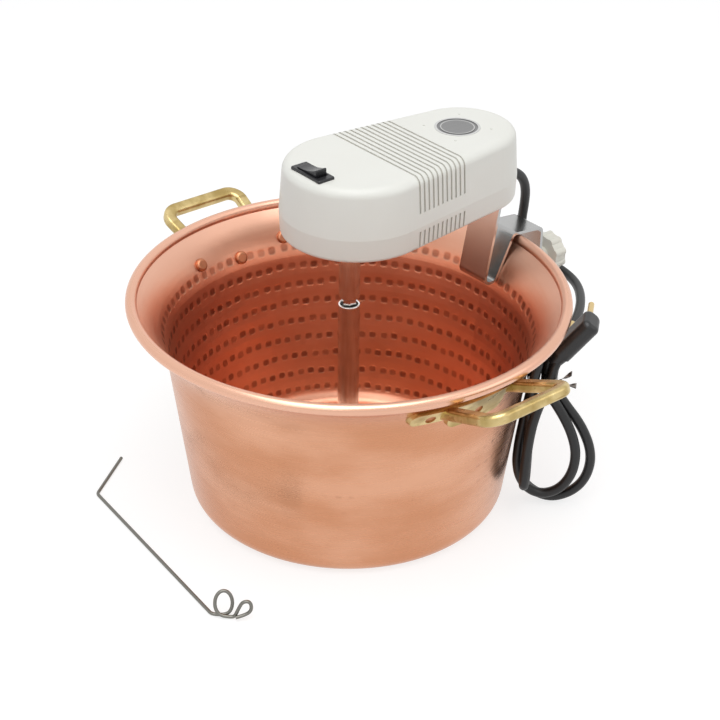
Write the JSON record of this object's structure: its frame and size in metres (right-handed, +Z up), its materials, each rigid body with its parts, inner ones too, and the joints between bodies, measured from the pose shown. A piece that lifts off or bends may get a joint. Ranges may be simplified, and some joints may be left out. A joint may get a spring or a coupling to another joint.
{
  "type": "electric polenta maker",
  "caption": "Hammered copper pot with cast brass handles and a motor clamped to its rim, which turns a stirrer through a sealed gear train; with a cord and a wire hook.",
  "frame": {"origin": "middle of the pot's base, on the surface it stands on", "axes": "+Z up along the pot's axis, +X towards the rim clamp and the motor's rear, handles on the Y axis"},
  "size_m": [0.342, 0.3394, 0.239],
  "materials": {
    "copper": "hammered, polished copper",
    "brass_cast": "cast, satin",
    "stainless": "polished stainless",
    "housing_white": "fine satin",
    "badge_metal": "satin",
    "switch_black": "satin",
    "plate_steel": "zinc plated",
    "screw_steel": "zinc plated",
    "bush_brass": "turned",
    "gear_plastic": "moulded acetal",
    "core_steel": "laminated",
    "coil_copper": "enamelled wire",
    "socket_grey": "satin",
    "black_rubber": "smooth flexible PVC",
    "tie_clear": "twisted tie, translucent"
  },
  "bodies": {
    "pot_and_motor_unit": {"pot": "copper", "handle_near": "brass_cast", "handle_far": "brass_cast", "rivets_near": "copper", "rivets_far": "copper", "upper_shell": "housing_white", "lower_shell": "housing_white", "badge_disc": "badge_metal", "housing_screws": "screw_steel", "switch_frame": "switch_black", "gear_plate_lower": "plate_steel", "gear_plate_upper": "plate_steel", "plate_posts": "plate_steel", "gear_axles": "screw_steel", "shaft_bushes": "bush_brass", "motor_stack": "core_steel", "motor_coil": "coil_copper", "motor_bridge": "plate_steel", "motor_bush": "bush_brass", "bracket_strip": "stainless", "bracket_screws": "screw_steel", "clamp_nut": "screw_steel", "strain_relief": "black_rubber", "power_cord": "black_rubber", "cord_hank": "black_rubber", "cord_tie": "tie_clear", "plug_body": "black_rubber", "plug_pins": "bush_brass"},
    "stirrer": {"drive_shaft": "stainless", "output_gear": "gear_plastic", "shaft_clip": "screw_steel", "drive_socket": "socket_grey", "stirrer_tube": "stainless", "stirrer_foot": "stainless", "stirrer_blade": "stainless"},
    "second_stage": {"second_gear": "gear_plastic"},
    "first_stage": {"first_gear": "gear_plastic"},
    "rotor": {"rotor_core": "core_steel", "motor_shaft": "screw_steel"},
    "switch": {"switch_rocker": "switch_black"},
    "pad": {"clamp_pad": "screw_steel"},
    "screw": {"clamp_screw": "screw_steel", "clamp_knob": "housing_white"},
    "hook": {"wire_hook": "stainless"}
  },
  "joints": [
    {"name": "stirrer_spin", "type": "hinge", "parent": "pot_and_motor_unit", "child": "stirrer", "pos_m": [0, 0, 0.2], "axis": [0, 0, 1], "continuous": true},
    {"name": "second_stage_spin", "type": "hinge", "parent": "pot_and_motor_unit", "child": "second_stage", "pos_m": [0.0375, 0, 0.2], "axis": [0, 0, 1], "continuous": true},
    {"name": "first_stage_spin", "type": "hinge", "parent": "pot_and_motor_unit", "child": "first_stage", "pos_m": [0.0635, 0, 0.2], "axis": [0, 0, 1], "continuous": true},
    {"name": "rotor_spin", "type": "hinge", "parent": "pot_and_motor_unit", "child": "rotor", "pos_m": [0.0875, 0, 0.2], "axis": [0, 0, 1], "continuous": true},
    {"name": "switch_rock", "type": "hinge", "parent": "pot_and_motor_unit", "child": "switch", "pos_m": [-0.029, 0, 0.2331], "axis": [1, 0, 0], "range_deg": [0, 22]},
    {"name": "clamp_travel", "type": "slide", "parent": "pot_and_motor_unit", "child": "pad", "axis": [1, 0, 0], "range_m": [0, 0.012]},
    {"name": "clamp_turn", "type": "hinge", "parent": "pad", "child": "screw", "pos_m": [0.16, 0, 0.117], "axis": [1, 0, 0], "range_deg": [0, 4320]},
    {"name": "hook_lift", "type": "slide", "parent": "pot_and_motor_unit", "child": "hook", "axis": [0, 0, 1], "range_m": [0, 0.1]}
  ],
  "couplings": [
    {"joint": "first_stage_spin", "follows": "rotor_spin", "ratio": -0.2},
    {"joint": "second_stage_spin", "follows": "rotor_spin", "ratio": 0.06},
    {"joint": "stirrer_spin", "follows": "rotor_spin", "ratio": -0.015},
    {"joint": "clamp_travel", "follows": "clamp_turn", "m_per_rad": 0.00015915}
  ]
}
